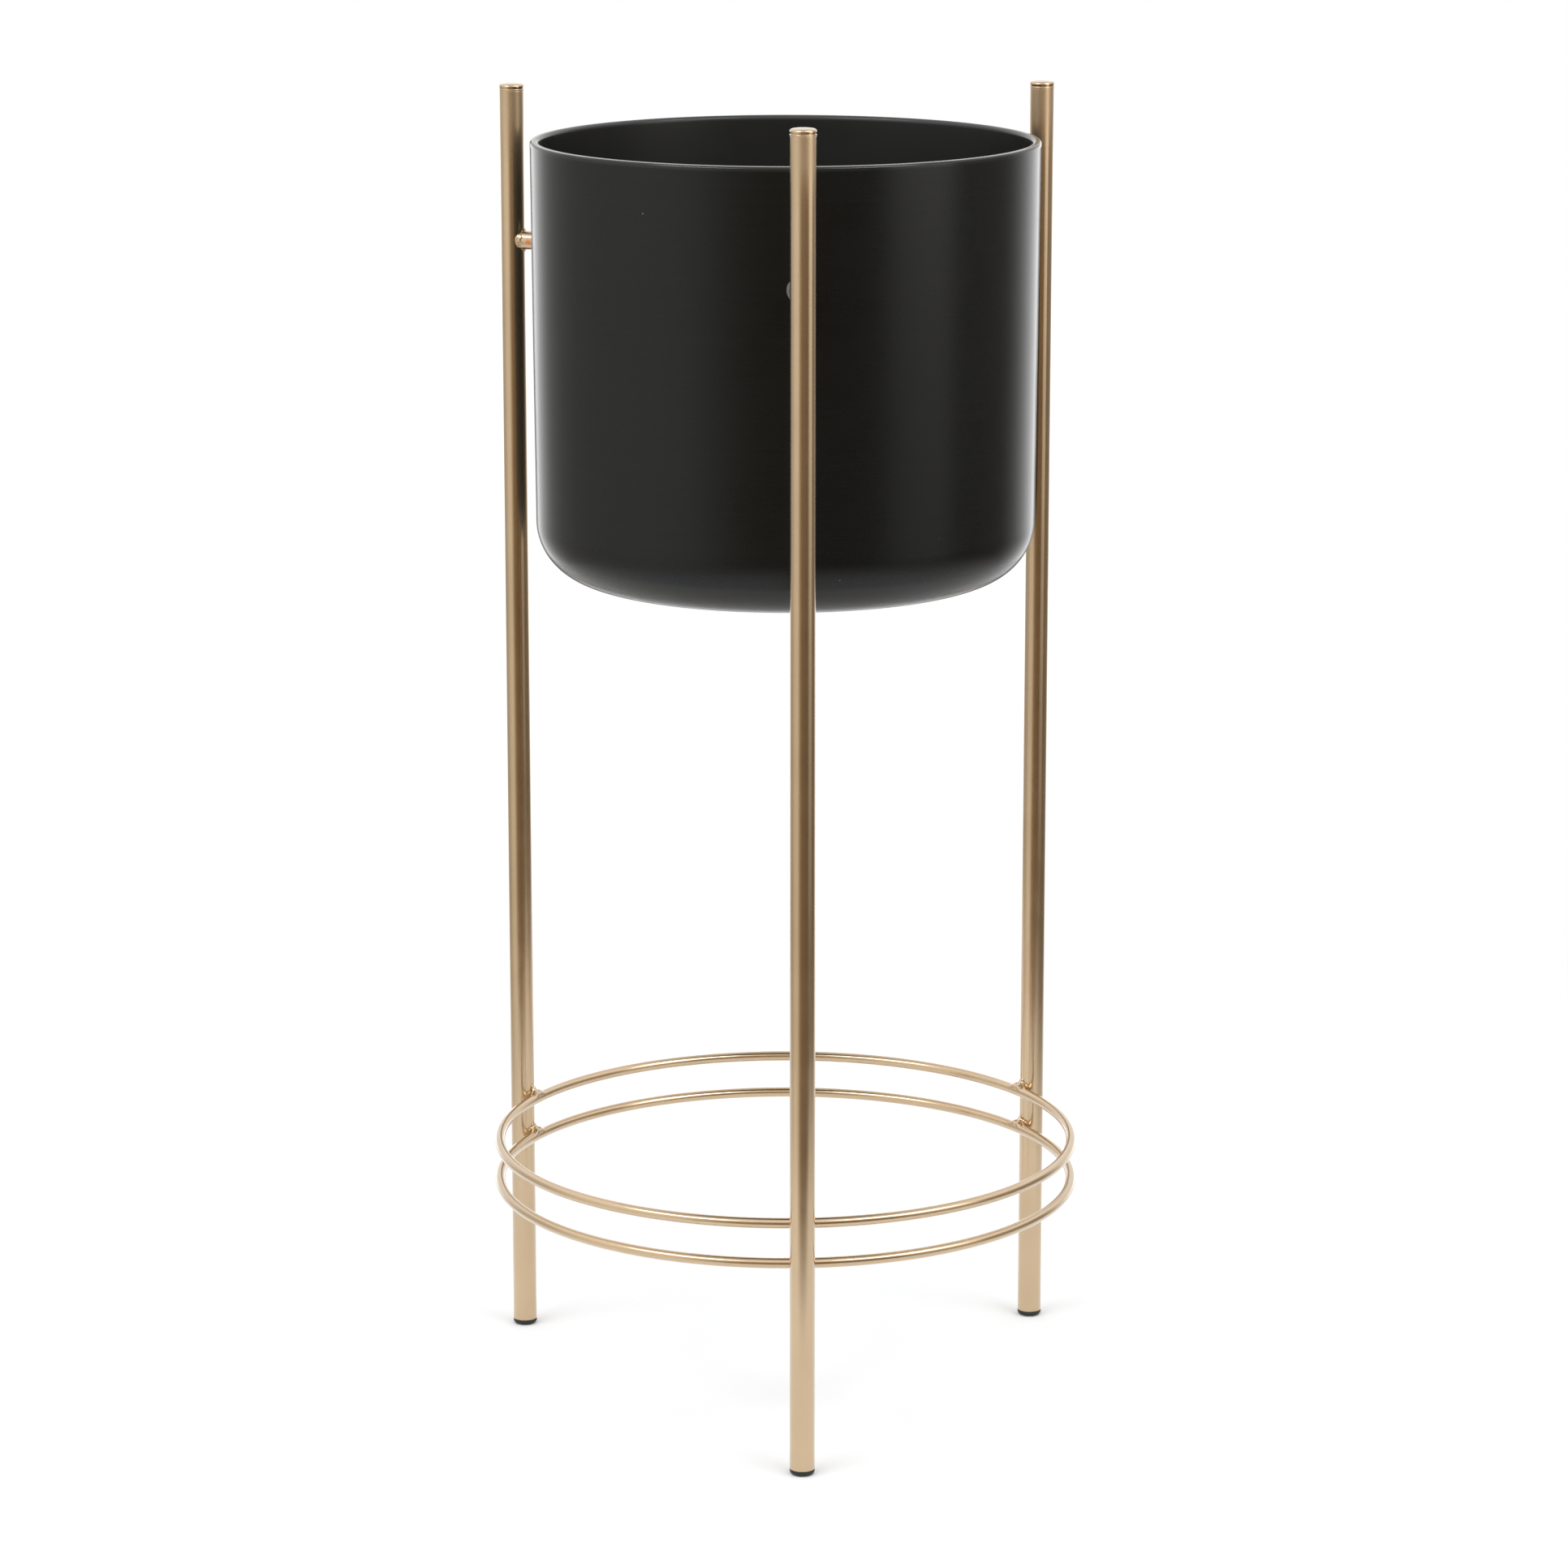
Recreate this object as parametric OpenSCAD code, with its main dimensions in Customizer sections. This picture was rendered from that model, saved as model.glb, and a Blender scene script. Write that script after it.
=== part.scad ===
// Three-legged plant stand: slim tube legs with capped tops and glide feet,
// a pair of round-wire rings low down, and a round planter pot hung between
// the legs on three short standoffs. Units are millimetres, +Z is up, the
// front leg stands toward -Y and the origin is on the floor under the middle
// of the bounding box.

/* [Legs] */

// overall height, floor to the crown of the leg caps
overall_h = 679; // [500:1:900]
// outside diameter of the leg tube
tube_d = 12.7; // [10:0.1:20]
// wall thickness of the leg tube
tube_wall = 1.2; // [0.8:0.1:2]
// bevel on the upper outer edge of the tube, the line seen under each cap
tube_chamfer = 0.4; // [0.1:0.1:0.8]
// radius of the circle the three leg centres stand on
leg_circle_r = 160.5; // [120:0.5:220]

/* [Caps and feet] */

// outside diameter of the cap head
cap_d = 13.2; // [11:0.1:22]
// height of the cap head side, without the crown
cap_h = 3.3; // [2:0.1:8]
// radius on the upper edge of the cap head
cap_edge_r = 1.2; // [0.4:0.1:2]
// length of the cap stem inside the tube
cap_stem = 9; // [5:0.5:20]
// height of the foot below the tube end
foot_h = 2.8; // [1.5:0.1:8]
// radius on the lower edge of the foot
foot_edge_r = 1.9; // [0.5:0.1:2.2]
// length of the foot stem inside the tube
foot_stem = 11; // [5:0.5:20]

/* [Rings] */

// diameter of the ring wire
wire_d = 5.4; // [4:0.1:10]
// height of the upper ring centre line above the floor
ring_upper_z = 129.3; // [80:0.1:300]
// height of the lower ring centre line above the floor
ring_lower_z = 108.3; // [40:0.1:280]
// gap between ring and leg tube, bridged by the weld
ring_gap = 0.1; // [0:0.05:0.5]

/* [Pot] */

// outside diameter of the pot at the rim
pot_top_d = 260.3; // [180:0.1:320]
// outside diameter of the pot where the wall meets the base curve
pot_low_d = 257.4; // [170:0.1:320]
// height of the pot rim above the floor
pot_rim_z = 657; // [450:0.5:850]
// height of the pot itself
pot_h = 225.6; // [120:0.1:320]
// wall thickness of the pot
pot_wall = 4.6; // [3:0.1:10]
// floor thickness of the pot
pot_floor = 5; // [3:0.1:12]
// outside radius between wall and base
pot_corner_r = 30.5; // [10:0.5:60]
// radius on the outer edge of the rim
lip_outer_r = 1.7; // [0.5:0.1:3]

/* [Standoffs] */

// height of the standoffs above the floor
standoff_z = 597; // [400:0.5:800]
// diameter of a standoff
standoff_d = 10; // [8:0.1:16]
// diameter of the pale washer between standoff and pot
outer_washer_d = 12.8; // [10:0.1:20]
// thickness of the pale washer at its middle
outer_washer_t = 2; // [1:0.1:4]
// diameter of the rubber washer inside the pot
seal_washer_d = 15; // [10:0.1:24]
// thickness of the rubber washer inside the pot
seal_washer_t = 2; // [1:0.1:4]
// diameter of the steel washer under the screw head
steel_washer_d = 12.5; // [9:0.1:24]
// thickness of the steel washer
steel_washer_t = 1; // [0.5:0.1:2]

/* [Screws] */

// screw shank diameter
screw_d = 5; // [4:0.5:6]
// screw length under the head
screw_len = 20; // [12:1:30]
// screw head diameter
screw_head_d = 9.5; // [7:0.1:12]
// screw head height
screw_head_h = 3.3; // [2:0.1:5]

/* [Hidden] */

$fn = 96;

gold = [0.78, 0.67, 0.50];
black = [0.09, 0.09, 0.08];
grey = [0.62, 0.62, 0.60];
steel = [0.72, 0.72, 0.70];
rubber = [0.12, 0.12, 0.12];

tube_r = tube_d / 2;
tube_ir = tube_r - tube_wall;
stem_r = tube_ir - 0.05;
wire_r = wire_d / 2;
ring_r = leg_circle_r - tube_r - ring_gap - wire_r;
ring_out_r = ring_r + wire_r;

// crown of the cap: a shallow spherical rise on the flat of the head
crown_r = 45;
crown_flat = cap_d / 2 - cap_edge_r;
crown_rise = crown_r - sqrt(crown_r * crown_r - crown_flat * crown_flat);
tube_top = overall_h - cap_h - crown_rise;

// the stand axis lies behind the box centre, as only the front leg reaches past the rings
axis_y = (leg_circle_r + cap_d / 2 - ring_out_r) / 2;

a_front = -90;
a_left = 150;
a_right = 30;

pot_base_z = pot_rim_z - pot_h;
pot_top_r = pot_top_d / 2;
pot_low_r = pot_low_d / 2;
wall_low_z = pot_base_z + pot_corner_r;
lip_inner_r = pot_wall - lip_outer_r;

// pot wall radius, outside, at a given height
function pot_r(z) = pot_low_r + (pot_top_r - pot_low_r) * (z - wall_low_z) / (pot_rim_z - wall_low_z);

seat_r = pot_r(standoff_z);
inner_seat_r = seat_r - pot_wall;
washer_face_r = seat_r + outer_washer_t;
seal_face_r = inner_seat_r - seal_washer_t;
head_face_r = seal_face_r - steel_washer_t;

// puts a leg-local shape (+X away from the stand axis) at its place
module at_leg(a) {
    translate([0, axis_y, 0]) rotate([0, 0, a]) children();
}

// horizontal bar along the standoff line, from radius r0 to radius r1
module bar(r0, r1, d) {
    translate([r0, 0, standoff_z]) rotate([0, 90, 0]) cylinder(d = d, h = r1 - r0);
}

// ---------- pot ----------

module pot_outside_2d() {
    difference() {
        polygon([
            [0, pot_base_z],
            [pot_low_r, pot_base_z],
            [pot_low_r, wall_low_z],
            [pot_top_r, pot_rim_z],
            [0, pot_rim_z]
        ]);
        difference() {
            translate([pot_low_r - pot_corner_r, pot_base_z - 1])
                square([pot_corner_r + 1, pot_corner_r + 1]);
            translate([pot_low_r - pot_corner_r, wall_low_z])
                circle(r = pot_corner_r);
        }
    }
}

module pot_inside_2d() {
    ci = pot_corner_r - pot_wall;
    difference() {
        polygon([
            [0, pot_base_z + pot_floor],
            [pot_low_r - pot_wall, pot_base_z + pot_floor],
            [pot_low_r - pot_wall, pot_base_z + pot_floor + ci],
            [pot_top_r - pot_wall, pot_rim_z],
            [pot_top_r - pot_wall, pot_rim_z + 1],
            [0, pot_rim_z + 1]
        ]);
        difference() {
            translate([pot_low_r - pot_wall - ci, pot_base_z + pot_floor - 1])
                square([ci + 1, ci + 1]);
            translate([pot_low_r - pot_wall - ci, pot_base_z + pot_floor + ci])
                circle(r = ci);
        }
    }
}

// what the rounded rim removes from the square top edge
module lip_cut_2d() {
    xm = pot_top_r - lip_outer_r;
    difference() {
        translate([xm, pot_rim_z - lip_outer_r]) square([lip_outer_r + 1, lip_outer_r + 1]);
        translate([xm, pot_rim_z - lip_outer_r]) circle(r = lip_outer_r);
    }
    difference() {
        translate([xm - lip_inner_r - 1, pot_rim_z - lip_inner_r]) square([lip_inner_r + 1, lip_inner_r + 1]);
        translate([xm, pot_rim_z - lip_inner_r]) circle(r = lip_inner_r);
    }
}

module planter_pot() {
    color(black)
    difference() {
        translate([0, axis_y, 0]) rotate_extrude()
            difference() {
                pot_outside_2d();
                pot_inside_2d();
                lip_cut_2d();
            }
        for (a = [a_front, a_left, a_right])
            at_leg(a) bar(inner_seat_r - 5, seat_r + 5, screw_d + 0.8);
    }
}

// ---------- legs, caps, feet ----------

module leg(a) {
    color(gold)
    at_leg(a) translate([leg_circle_r, 0, 0])
        rotate_extrude() polygon([
            [tube_ir, foot_h],
            [tube_r - tube_chamfer / 2, foot_h],
            [tube_r, foot_h + tube_chamfer / 2],
            [tube_r, tube_top - tube_chamfer],
            [tube_r - tube_chamfer, tube_top],
            [tube_ir, tube_top]
        ]);
}

module top_cap(a) {
    color(gold)
    at_leg(a) translate([leg_circle_r, 0, tube_top])
        rotate_extrude() {
            // head side and rounded upper edge
            polygon([
                [0, 0],
                [cap_d / 2 - 0.35, 0],
                [cap_d / 2, 0.35],
                [cap_d / 2, cap_h - cap_edge_r],
                [0, cap_h - cap_edge_r]
            ]);
            translate([0, cap_h - cap_edge_r - 0.1]) square([cap_d / 2 - cap_edge_r, cap_edge_r + 0.1]);
            intersection() {
                translate([cap_d / 2 - cap_edge_r, cap_h - cap_edge_r]) circle(r = cap_edge_r);
                translate([cap_d / 2 - cap_edge_r - 0.5, cap_h - cap_edge_r - 0.5]) square([cap_edge_r + 1, cap_edge_r + 1]);
            }
            // crown
            intersection() {
                translate([0, cap_h + crown_rise - crown_r]) circle(r = crown_r);
                translate([0, cap_h - 0.1]) square([crown_flat, crown_rise + 1]);
            }
            // stem in the tube
            polygon([
                [0, -cap_stem],
                [stem_r - 0.8, -cap_stem],
                [stem_r, -cap_stem + 1.5],
                [stem_r, 0.1],
                [0, 0.1]
            ]);
        }
}

module foot(a) {
    color(black)
    at_leg(a) translate([leg_circle_r, 0, 0])
        rotate_extrude() {
            // glide with rounded lower edge
            square([tube_r - foot_edge_r, foot_h]);
            translate([0, foot_edge_r]) square([tube_r, foot_h - foot_edge_r]);
            intersection() {
                translate([tube_r - foot_edge_r, foot_edge_r]) circle(r = foot_edge_r);
                translate([tube_r - foot_edge_r - 0.2, 0]) square([foot_edge_r + 1, foot_edge_r + 0.2]);
            }
            // stem in the tube
            polygon([
                [0, foot_h - 0.1],
                [stem_r, foot_h - 0.1],
                [stem_r, foot_h + foot_stem - 1.5],
                [stem_r - 0.8, foot_h + foot_stem],
                [0, foot_h + foot_stem]
            ]);
        }
}

// ---------- rings ----------

module ring_solid(z) {
    translate([0, 0, z]) rotate_extrude() translate([ring_r, 0]) circle(r = wire_r);
}

module ring(z) {
    color(gold) translate([0, axis_y, 0]) ring_solid(z);
}

// bead on top of the joint between one ring and one leg
module ring_bead(z) {
    difference() {
        union() {
            // upright part against the tube
            translate([ring_out_r + 1.1, 0, z + 1.5]) cylinder(r = 3.3, h = 4.4);
            translate([ring_out_r + 1.1, 0, z + 5.9]) sphere(r = 3.3);
            // part that runs down onto the wire
            translate([ring_out_r - 0.9, 0, z + 1.3]) sphere(r = 4.3);
        }
        translate([leg_circle_r, 0, z - 20]) cylinder(r = tube_r, h = 40);
        translate([0, 0, z]) rotate_extrude($fn = 360) translate([ring_r, 0]) circle(r = wire_r, $fn = 48);
    }
}

module ring_welds(a) {
    color(gold) at_leg(a) {
        ring_bead(ring_upper_z);
        ring_bead(ring_lower_z);
    }
}

// ---------- standoffs and their fixings ----------

// slice of the pot's wall surface around the standoffs, grown outward by g
module wall_slice(g) {
    translate([0, axis_y, standoff_z - 15])
        cylinder(r1 = pot_r(standoff_z - 15) + g, r2 = pot_r(standoff_z + 15) + g, h = 30, $fn = 720);
}

module standoff(a) {
    color(gold)
    at_leg(a) difference() {
        bar(washer_face_r, leg_circle_r - 1, standoff_d);
        translate([leg_circle_r, 0, standoff_z - 20]) cylinder(r = tube_r, h = 40);
        bar(washer_face_r - 1, washer_face_r + 15, screw_d + 0.1);
    }
}

module standoff_weld(a) {
    crest = leg_circle_r - tube_r;
    color(gold)
    at_leg(a) difference() {
        translate([crest - 1.9, 0, standoff_z]) rotate([0, 90, 0])
            cylinder(r1 = standoff_d / 2 + 0.35, r2 = standoff_d / 2 + 1.25, h = 6);
        translate([leg_circle_r, 0, standoff_z - 20]) cylinder(r = tube_r, h = 40);
        bar(crest - 10, crest + 10, standoff_d);
    }
}

module outer_washer(a) {
    color(grey)
    difference() {
        at_leg(a) difference() {
            bar(seat_r - 3, washer_face_r, outer_washer_d);
            bar(seat_r - 5, washer_face_r + 1, screw_d + 0.4);
        }
        wall_slice(0);
    }
}

module seal_washer(a) {
    color(rubber)
    intersection() {
        at_leg(a) difference() {
            bar(seal_face_r, inner_seat_r + 3, seal_washer_d);
            bar(seal_face_r - 1, inner_seat_r + 4, screw_d + 0.2);
        }
        wall_slice(-pot_wall);
    }
}

module steel_washer(a) {
    color(steel)
    at_leg(a) difference() {
        bar(head_face_r, seal_face_r, steel_washer_d);
        bar(head_face_r - 1, seal_face_r + 1, screw_d + 0.4);
    }
}

// screw along +Z from the top of its head, turned from one profile
module screw_blank() {
    side_h = 1.7;
    dome_h = screw_head_h - side_h;
    flat_r = 1.2;
    rotate_extrude() {
        polygon([
            [0, 0],
            [flat_r, 0],
            [screw_head_d / 2 - 1.1, 0.55],
            [screw_head_d / 2 - 0.3, dome_h - 0.35],
            [screw_head_d / 2, dome_h + 0.2],
            [screw_head_d / 2, screw_head_h],
            [screw_d / 2, screw_head_h],
            [screw_d / 2, screw_head_h + screw_len - 0.8],
            [screw_d / 2 - 0.8, screw_head_h + screw_len],
            [0, screw_head_h + screw_len]
        ]);
    }
}

module pot_screw(a) {
    color(steel)
    at_leg(a) translate([head_face_r - screw_head_h, 0, standoff_z]) rotate([0, 90, 0])
        difference() {
            screw_blank();
            // cross recess
            translate([-2.6, -0.6, -1]) cube([5.2, 1.2, 2.9]);
            translate([-0.6, -2.6, -1]) cube([1.2, 5.2, 2.9]);
        }
}

// ---------- sub-parts ----------

module leg_front() { leg(a_front); }
module leg_left() { leg(a_left); }
module leg_right() { leg(a_right); }
module top_cap_front() { top_cap(a_front); }
module top_cap_left() { top_cap(a_left); }
module top_cap_right() { top_cap(a_right); }
module foot_front() { foot(a_front); }
module foot_left() { foot(a_left); }
module foot_right() { foot(a_right); }
module ring_upper() { ring(ring_upper_z); }
module ring_lower() { ring(ring_lower_z); }
module standoff_front() { standoff(a_front); }
module standoff_left() { standoff(a_left); }
module standoff_right() { standoff(a_right); }
module outer_washer_front() { outer_washer(a_front); }
module outer_washer_left() { outer_washer(a_left); }
module outer_washer_right() { outer_washer(a_right); }
module seal_washer_front() { seal_washer(a_front); }
module seal_washer_left() { seal_washer(a_left); }
module seal_washer_right() { seal_washer(a_right); }
module steel_washer_front() { steel_washer(a_front); }
module steel_washer_left() { steel_washer(a_left); }
module steel_washer_right() { steel_washer(a_right); }
module pot_screw_front() { pot_screw(a_front); }
module pot_screw_left() { pot_screw(a_left); }
module pot_screw_right() { pot_screw(a_right); }
module ring_welds_front() { ring_welds(a_front); }
module ring_welds_left() { ring_welds(a_left); }
module ring_welds_right() { ring_welds(a_right); }
module standoff_weld_front() { standoff_weld(a_front); }
module standoff_weld_left() { standoff_weld(a_left); }
module standoff_weld_right() { standoff_weld(a_right); }

planter_pot();
leg_front();
leg_left();
leg_right();
top_cap_front();
top_cap_left();
top_cap_right();
foot_front();
foot_left();
foot_right();
ring_upper();
ring_lower();
standoff_front();
standoff_left();
standoff_right();
outer_washer_front();
outer_washer_left();
outer_washer_right();
seal_washer_front();
seal_washer_left();
seal_washer_right();
steel_washer_front();
steel_washer_left();
steel_washer_right();
pot_screw_front();
pot_screw_left();
pot_screw_right();
ring_welds_front();
ring_welds_left();
ring_welds_right();
standoff_weld_front();
standoff_weld_left();
standoff_weld_right();
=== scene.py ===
import bpy
import bmesh
import math
import random
from mathutils import Matrix, Vector, noise


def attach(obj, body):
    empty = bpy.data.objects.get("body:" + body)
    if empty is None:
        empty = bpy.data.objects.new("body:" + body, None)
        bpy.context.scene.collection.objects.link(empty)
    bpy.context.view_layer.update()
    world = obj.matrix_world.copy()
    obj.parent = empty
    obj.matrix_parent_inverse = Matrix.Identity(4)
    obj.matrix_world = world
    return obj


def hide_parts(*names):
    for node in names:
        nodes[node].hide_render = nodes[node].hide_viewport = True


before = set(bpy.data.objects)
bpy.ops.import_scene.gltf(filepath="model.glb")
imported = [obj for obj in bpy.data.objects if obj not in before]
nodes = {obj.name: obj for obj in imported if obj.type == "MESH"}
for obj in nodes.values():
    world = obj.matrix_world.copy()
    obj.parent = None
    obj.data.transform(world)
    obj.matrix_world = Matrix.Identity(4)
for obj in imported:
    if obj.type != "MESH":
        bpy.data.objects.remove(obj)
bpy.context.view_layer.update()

MM = 0.001

# ------------------------------------------------------------------ sizes (mm)
OVERALL_H = 679.0
TUBE_R = 6.35
TUBE_IR = TUBE_R - 1.2
CHAMFER = 0.4
LEG_R = 160.5
CAP_R = 6.6
CAP_H = 3.3
CAP_EDGE = 1.2
CROWN_R = 45.0
CROWN_FLAT = CAP_R - CAP_EDGE
CROWN_RISE = CROWN_R - math.sqrt(CROWN_R ** 2 - CROWN_FLAT ** 2)
TUBE_TOP = OVERALL_H - CAP_H - CROWN_RISE
FOOT_H = 2.8
FOOT_EDGE = 1.9
WIRE_R = 2.7
RING_R = LEG_R - TUBE_R - 0.1 - WIRE_R
RING_OUT = RING_R + WIRE_R
RING_Z = (129.3, 108.3)
AXIS_Y = (LEG_R + CAP_R - RING_OUT) / 2
RIM_Z = 657.0
POT_H = 225.6
BASE_Z = RIM_Z - POT_H
POT_TOP_R = 130.15
POT_LOW_R = 128.7
WALL = 4.6
FLOOR_T = 5.0
CORNER_R = 30.5
WALL_LOW_Z = BASE_Z + CORNER_R
LIP_OUT = 1.7
STAND_Z = 597.0
STAND_R = 5.0


def pot_r(z):
    return POT_LOW_R + (POT_TOP_R - POT_LOW_R) * (z - WALL_LOW_Z) / (RIM_Z - WALL_LOW_Z)


SEAT_R = pot_r(STAND_Z)
WASHER_FACE = SEAT_R + 2.0
ANGLES = {"front": -90.0, "left": 150.0, "right": 30.0}


# ------------------------------------------------------------------ mesh tools
def leg_matrix(side):
    return Matrix.Translation((0, AXIS_Y * MM, 0)) @ Matrix.Rotation(math.radians(ANGLES[side]), 4, "Z")


def make(name, verts, faces, matrix=None, smooth=True):
    me = bpy.data.meshes.new(name)
    me.from_pydata([(x * MM, y * MM, z * MM) for x, y, z in verts], [], faces)
    if matrix is not None:
        me.transform(matrix)
    me.validate()
    ob = bpy.data.objects.new(name, me)
    bpy.context.scene.collection.objects.link(ob)
    bm = bmesh.new()
    bm.from_mesh(me)
    bmesh.ops.recalc_face_normals(bm, faces=bm.faces)
    bm.to_mesh(me)
    bm.free()
    for p in me.polygons:
        p.use_smooth = smooth
    return ob


def sharpen(ob, angle=40.0):
    """Smooth shading that keeps real edges crisp."""
    me = ob.data
    bm = bmesh.new()
    bm.from_mesh(me)
    limit = math.radians(angle)
    for e in bm.edges:
        e.smooth = not (len(e.link_faces) == 2 and e.calc_face_angle(0.0) > limit)
    bm.to_mesh(me)
    bm.free()
    return ob


def arc(cx, cy, r, a0, a1, n):
    return [
        (cx + r * math.cos(math.radians(a0 + (a1 - a0) * i / n)), cy + r * math.sin(math.radians(a0 + (a1 - a0) * i / n)))
        for i in range(n + 1)
    ]


def tidy(profile, eps=1e-4):
    out = []
    for p in profile:
        if not out or abs(p[0] - out[-1][0]) > eps or abs(p[1] - out[-1][1]) > eps:
            out.append(p)
    return out


def lathe(name, profile, seg, matrix=None, closed=False, warp=None):
    """Turns (r, z) round Z. An open profile starts and ends on the axis; a closed one is a ring."""
    profile = tidy(profile)
    verts, faces, rows = [], [], []
    for r, z in profile:
        if r < 1e-6:
            rows.append([len(verts)])
            verts.append((0.0, 0.0, z))
        else:
            row = []
            for i in range(seg):
                t = 2 * math.pi * i / seg
                rr, zz = (r, z) if warp is None else warp(r, z, t)
                row.append(len(verts))
                verts.append((rr * math.cos(t), rr * math.sin(t), zz))
            rows.append(row)
    pairs = list(zip(rows, rows[1:]))
    if closed:
        pairs.append((rows[-1], rows[0]))
    for a, b in pairs:
        if len(a) == 1 and len(b) == 1:
            continue
        for i in range(seg):
            j = (i + 1) % seg
            if len(a) == 1:
                faces.append((a[0], b[i], b[j]))
            elif len(b) == 1:
                faces.append((a[i], a[j], b[0]))
            else:
                faces.append((a[i], a[j], b[j], b[i]))
    return make(name, verts, faces, matrix)


def torus(name, major, minor, z, seg, sides, centre_y):
    verts, faces = [], []
    for i in range(seg):
        t = 2 * math.pi * i / seg
        for j in range(sides):
            u = 2 * math.pi * j / sides
            r = major + minor * math.cos(u)
            verts.append((r * math.cos(t), centre_y + r * math.sin(t), z + minor * math.sin(u)))
    for i in range(seg):
        for j in range(sides):
            a, b = i * sides + j, i * sides + (j + 1) % sides
            c, d = ((i + 1) % seg) * sides + (j + 1) % sides, ((i + 1) % seg) * sides + j
            faces.append((a, b, c, d))
    return make(name, verts, faces)


def blob(name, balls, matrix, voxel=0.3, rounds=6, lump=0.12, lump_scale=0.55):
    """A weld bead: balls fused by a voxel remesh, smoothed, then made a little lumpy."""
    bm = bmesh.new()
    for (x, y, z), r in balls:
        bmesh.ops.create_icosphere(bm, subdivisions=2 if r < 1.2 else 3, radius=r, matrix=Matrix.Translation((x, y, z)))
    me = bpy.data.meshes.new(name + "_raw")
    bm.to_mesh(me)
    bm.free()
    raw = bpy.data.objects.new(name + "_raw", me)
    bpy.context.scene.collection.objects.link(raw)
    m = raw.modifiers.new("fuse", "REMESH")
    m.mode, m.voxel_size, m.use_smooth_shade = "VOXEL", voxel, True
    s = raw.modifiers.new("soften", "SMOOTH")
    s.factor, s.iterations = 0.5, rounds
    deps = bpy.context.evaluated_depsgraph_get()
    out = bpy.data.meshes.new_from_object(raw.evaluated_get(deps))
    bpy.data.objects.remove(raw)
    bpy.data.meshes.remove(me)
    out.name = name
    nor = [v.normal.copy() for v in out.vertices]
    for v, n in zip(out.vertices, nor):
        p = v.co * lump_scale
        v.co += n * (noise.noise(p) * lump + noise.noise(p * 2.7 + Vector((9.1, 3.3, 5.7))) * lump * 0.45)
    out.transform(Matrix.Scale(MM, 4))
    out.transform(matrix)
    ob = bpy.data.objects.new(name, out)
    bpy.context.scene.collection.objects.link(ob)
    for p in out.polygons:
        p.use_smooth = True
    return ob


def finish_piece(ob, node, mat):
    ob.data.materials.clear()
    ob.data.materials.append(mat)
    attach(ob, "root")
    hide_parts(node)
    return ob


# ------------------------------------------------------------------ node tools
class Net:
    def __init__(self, tree):
        self.t = tree
        tree.nodes.clear()

    def n(self, kind, **values):
        node = self.t.nodes.new(kind)
        inputs = values.pop("inputs", {})
        for k, v in values.items():
            setattr(node, k, v)
        for k, v in inputs.items():
            if isinstance(v, bpy.types.NodeSocket):
                self.t.links.new(v, node.inputs[k])
            else:
                node.inputs[k].default_value = v
        return node

    def math(self, op, a, b=None, c=None, clamp=False):
        node = self.t.nodes.new("ShaderNodeMath")
        node.operation, node.use_clamp = op, clamp
        for i, v in enumerate((a, b, c)):
            if v is None:
                continue
            if isinstance(v, bpy.types.NodeSocket):
                self.t.links.new(v, node.inputs[i])
            else:
                node.inputs[i].default_value = v
        return node.outputs[0]

    def ramp(self, fac, stops, interpolation="LINEAR"):
        node = self.t.nodes.new("ShaderNodeValToRGB")
        node.color_ramp.interpolation = interpolation
        el = node.color_ramp.elements
        while len(el) > 1:
            el.remove(el[-1])
        el[0].position, el[0].color = stops[0][0], (*stops[0][1], 1) if isinstance(stops[0][1], tuple) else (stops[0][1],) * 3 + (1,)
        for pos, col in stops[1:]:
            e = el.new(pos)
            e.color = (*col, 1) if isinstance(col, tuple) else (col, col, col, 1)
        self.t.links.new(fac, node.inputs[0])
        return node.outputs[0]

    def mix(self, fac, a, b, blend="MIX"):
        node = self.t.nodes.new("ShaderNodeMix")
        node.data_type, node.blend_type = "RGBA", blend
        for key, v in (("Factor", fac), ("A", a), ("B", b)):
            sock = [s for s in node.inputs if s.name == key and s.enabled and (key == "Factor" or s.type == "RGBA")][0]
            if isinstance(v, bpy.types.NodeSocket):
                self.t.links.new(v, sock)
            else:
                sock.default_value = v if key == "Factor" else (*v, 1)
        return [s for s in node.outputs if s.type == "RGBA"][0]

    def noise(self, vector, scale, detail=2.0, rough=0.5, distortion=0.0):
        node = self.n("ShaderNodeTexNoise", inputs={"Vector": vector, "Scale": scale, "Detail": detail, "Roughness": rough, "Distortion": distortion})
        return node.outputs["Fac"] if "Fac" in node.outputs else node.outputs[0]

    def span(self, value, lo, hi, to_lo=0.0, to_hi=1.0, smooth=False):
        node = self.n("ShaderNodeMapRange", inputs={"Value": value, "From Min": lo, "From Max": hi, "To Min": to_lo, "To Max": to_hi})
        if smooth:
            node.interpolation_type = "SMOOTHSTEP"
        return node.outputs[0]


def new_material(name):
    m = bpy.data.materials.new(name)
    m.use_nodes = True
    net = Net(m.node_tree)
    out = net.n("ShaderNodeOutputMaterial")
    bsdf = net.n("ShaderNodeBsdfPrincipled")
    net.t.links.new(bsdf.outputs[0], out.inputs[0])
    tex = net.n("ShaderNodeTexCoord").outputs["Object"]
    return m, net, bsdf, tex


def link(net, a, node, key):
    net.t.links.new(a, node.inputs[key])


def bump(net, height, strength, distance, normal=None):
    node = net.n("ShaderNodeBump", inputs={"Height": height, "Strength": strength, "Distance": distance})
    if normal is not None:
        net.t.links.new(normal, node.inputs["Normal"])
    return node.outputs[0]


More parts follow.
